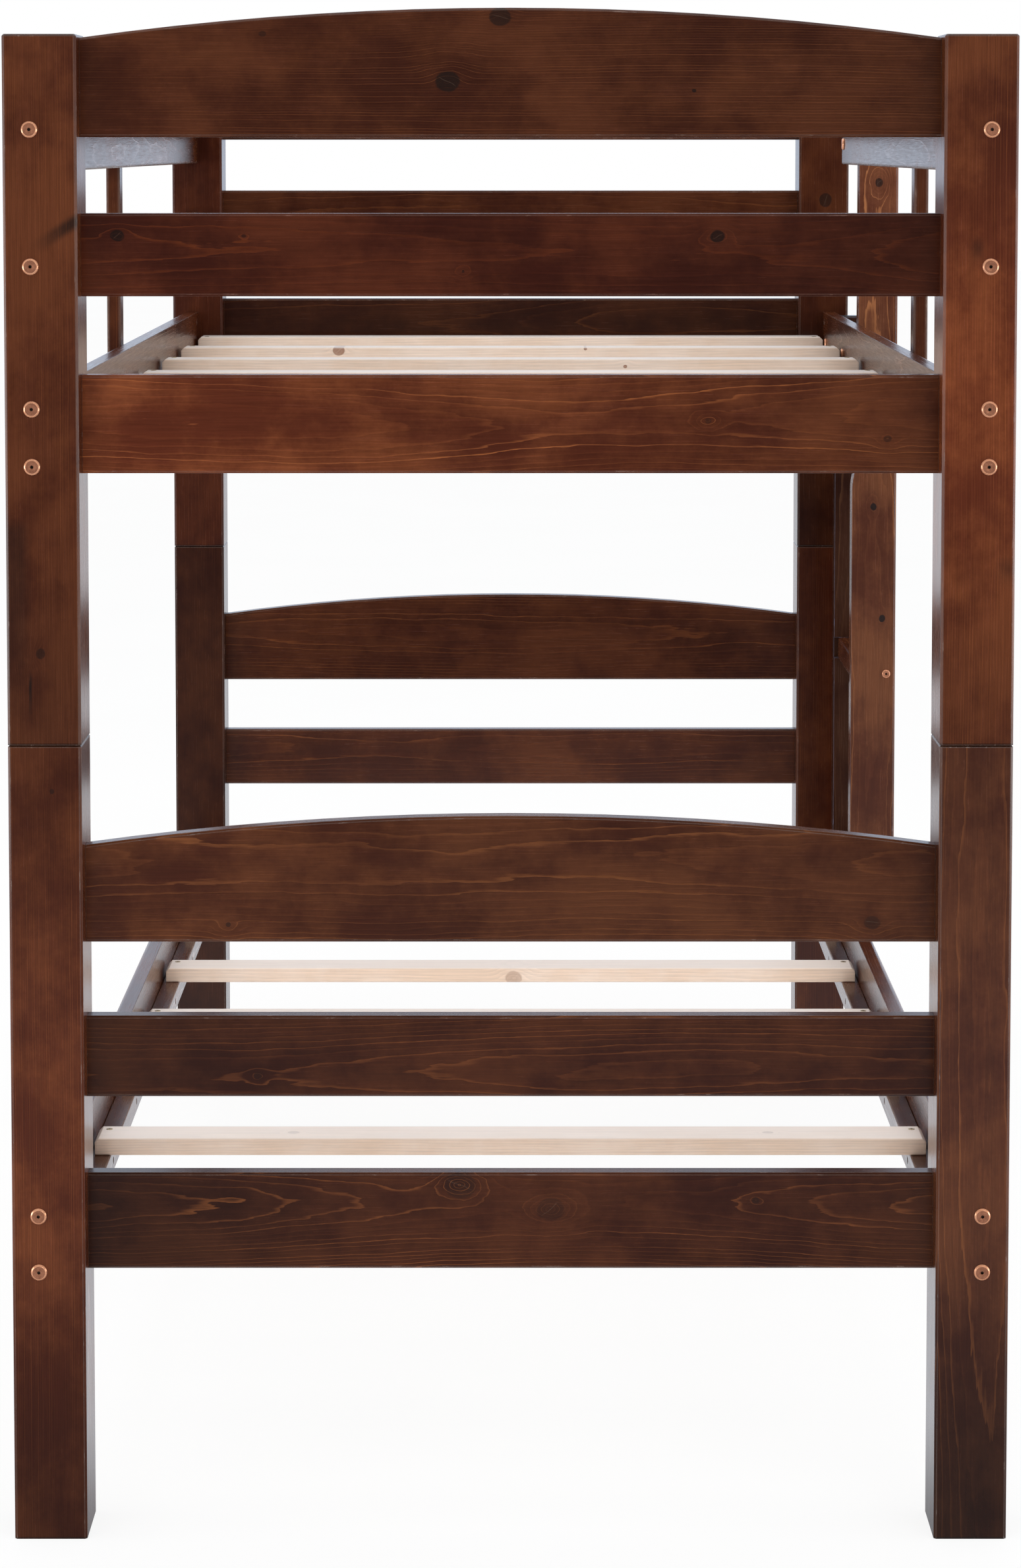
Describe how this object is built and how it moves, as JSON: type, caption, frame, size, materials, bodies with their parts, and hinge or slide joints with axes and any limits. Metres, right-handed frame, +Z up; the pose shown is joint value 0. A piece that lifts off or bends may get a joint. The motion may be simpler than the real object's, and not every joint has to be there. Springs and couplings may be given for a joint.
{
  "type": "bunk bed",
  "caption": "Twin-over-twin wooden bunk bed with stacked square posts, arched end panels, slatted bases, guard rails and a short fixed ladder at one corner.",
  "frame": {"origin": "on the floor, under the middle of the whole bed, ladder included", "axes": "+X across the bed towards the ladder side, +Y along the bed from the front end panel to the rear one, +Z up"},
  "size_m": [1.108, 2.096, 1.6425],
  "materials": {
    "stained_pine": "dark walnut stain under satin lacquer",
    "bare_pine": "planed, unfinished",
    "copper_bolt": "antique copper plate",
    "zinc_steel": "zinc plate"
  },
  "bodies": {
    "lower_bunk": {"lower_arch_rail_front": "stained_pine", "lower_arch_rail_rear": "stained_pine", "lower_barrel_nuts": "zinc_steel", "lower_bed_rail_front": "stained_pine", "lower_bed_rail_rear": "stained_pine", "lower_cleat_left": "stained_pine", "lower_cleat_right": "stained_pine", "lower_connector_bolts": "copper_bolt", "lower_mid_rail_front": "stained_pine", "lower_mid_rail_rear": "stained_pine", "lower_post_front_left": "stained_pine", "lower_post_front_right": "stained_pine", "lower_post_rear_left": "stained_pine", "lower_post_rear_right": "stained_pine", "lower_side_rail_left": "stained_pine", "lower_side_rail_right": "stained_pine", "lower_slat_1": "bare_pine", "lower_slat_2": "bare_pine", "lower_slat_3": "bare_pine", "lower_slat_4": "bare_pine", "lower_slat_5": "bare_pine", "lower_slat_6": "bare_pine", "lower_slat_7": "bare_pine", "stack_pins": "zinc_steel"},
    "upper_bunk": {"guard_low_rail_left": "stained_pine", "guard_low_rail_right": "stained_pine", "guard_top_rail_left": "stained_pine", "guard_top_rail_right": "stained_pine", "guard_upright_left": "stained_pine", "guard_upright_right": "stained_pine", "ladder_bolts": "copper_bolt", "ladder_rung_1": "stained_pine", "ladder_rung_2": "stained_pine", "ladder_rung_3": "stained_pine", "ladder_stile_front": "stained_pine", "ladder_stile_rear": "stained_pine", "rung_bolts": "copper_bolt", "upper_arch_rail_front": "stained_pine", "upper_arch_rail_rear": "stained_pine", "upper_barrel_nuts": "zinc_steel", "upper_bed_rail_front": "stained_pine", "upper_bed_rail_rear": "stained_pine", "upper_cleat_left": "stained_pine", "upper_cleat_right": "stained_pine", "upper_connector_bolts": "copper_bolt", "upper_mid_rail_front": "stained_pine", "upper_mid_rail_rear": "stained_pine", "upper_post_front_left": "stained_pine", "upper_post_front_right": "stained_pine", "upper_post_rear_left": "stained_pine", "upper_post_rear_right": "stained_pine", "upper_side_rail_left": "stained_pine", "upper_side_rail_right": "stained_pine", "upper_slat_1": "bare_pine", "upper_slat_2": "bare_pine", "upper_slat_3": "bare_pine", "upper_slat_4": "bare_pine", "upper_slat_5": "bare_pine", "upper_slat_6": "bare_pine", "upper_slat_7": "bare_pine"}
  },
  "joints": [
    {"name": "upper_bunk_lift", "type": "slide", "parent": "lower_bunk", "child": "upper_bunk", "axis": [0, 0, 1], "range_m": [0, 0.06]}
  ]
}
